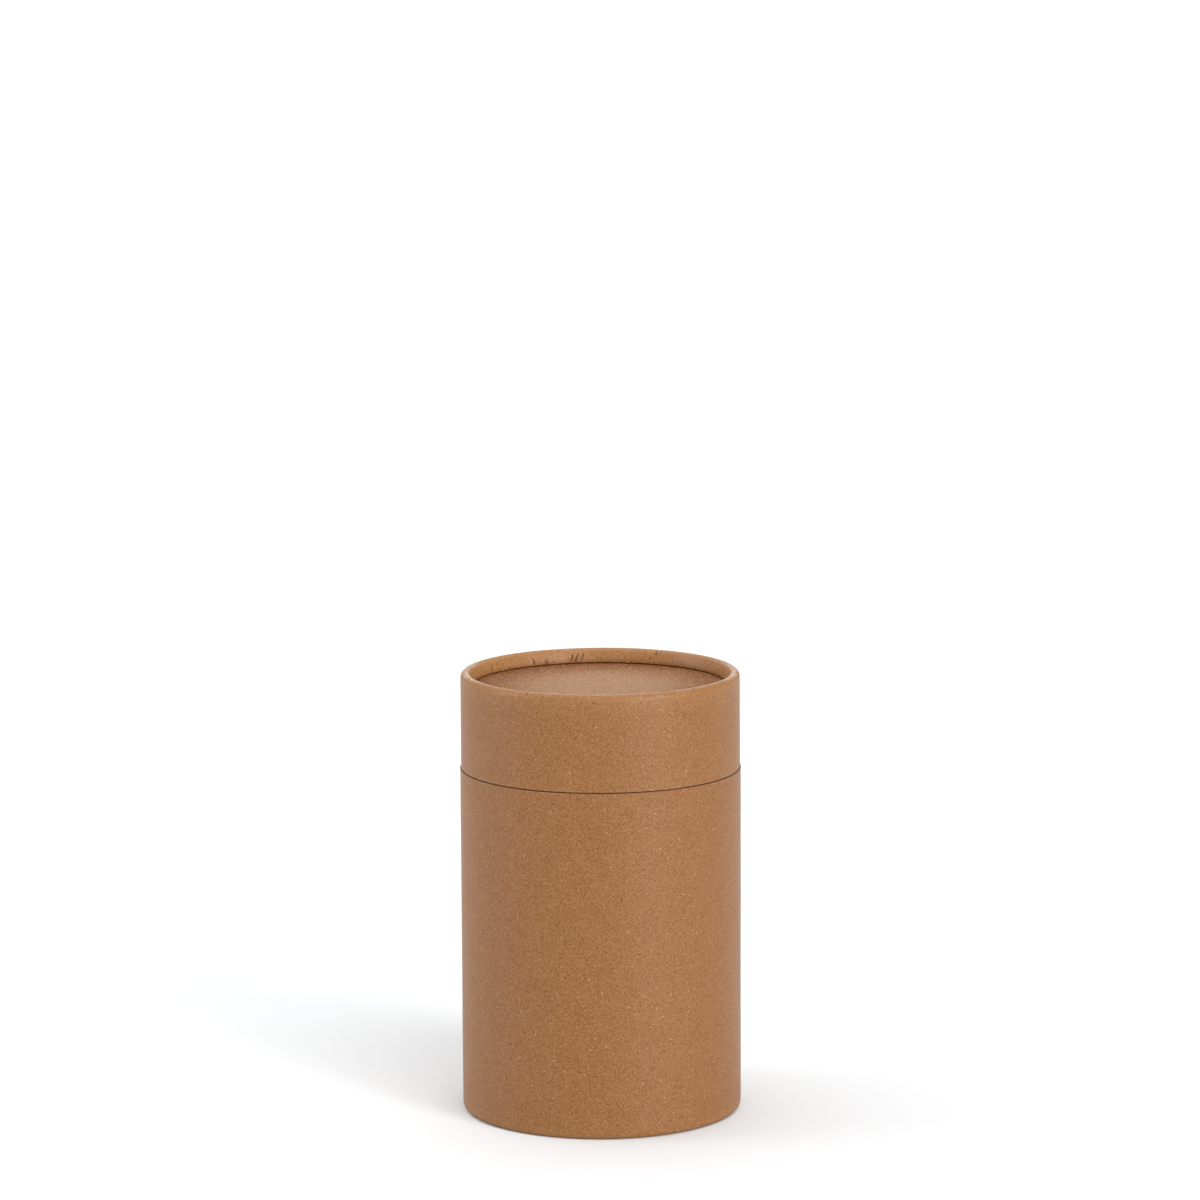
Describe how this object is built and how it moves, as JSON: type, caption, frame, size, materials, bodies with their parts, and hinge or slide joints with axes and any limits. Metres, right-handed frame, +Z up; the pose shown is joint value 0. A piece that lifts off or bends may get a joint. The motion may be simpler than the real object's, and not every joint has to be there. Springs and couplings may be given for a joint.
{
  "type": "gift tube box",
  "caption": "Round wound-paper tube box with rolled rims, a recessed top disc and a slip-on lid that slides and turns on an inner neck.",
  "frame": {"origin": "centre of the bottom rim, on the surface that the box stands on", "axes": "+Z is up, along the tube's axis, and -Y is the front, with the paper laps at the back"},
  "size_m": [0.083, 0.083, 0.1315],
  "materials": {
    "kraft_face": "matte",
    "wound_board": "matte",
    "lining": "matte",
    "glue": "satin"
  },
  "bodies": {
    "base": {"base_face_paper": "kraft_face", "base_board_ply_1": "wound_board", "base_board_ply_2": "wound_board", "base_board_ply_3": "wound_board", "base_board_ply_4": "wound_board", "neck_face_paper": "kraft_face", "neck_board_ply_1": "wound_board", "neck_board_ply_2": "wound_board", "neck_board_ply_3": "wound_board", "neck_lining": "lining", "base_disc": "wound_board", "base_disc_face_paper": "kraft_face", "base_disc_lining": "lining"},
    "lid_core": {"lid_disc": "wound_board"},
    "lid": {"lid_face_paper": "kraft_face", "lid_board_ply_1": "wound_board", "lid_board_ply_2": "wound_board", "lid_board_ply_3": "wound_board", "lid_lining": "lining", "lid_disc_face_paper": "kraft_face", "lid_disc_lining": "lining", "lid_glue_bead": "glue"}
  },
  "joints": [
    {"name": "lid_lift", "type": "slide", "parent": "base", "child": "lid_core", "axis": [0, 0, 1], "range_m": [0, 0.08]},
    {"name": "lid_turn", "type": "hinge", "parent": "lid_core", "child": "lid", "pos_m": [0, 0, 0.115], "axis": [0, 0, 1], "continuous": true}
  ]
}
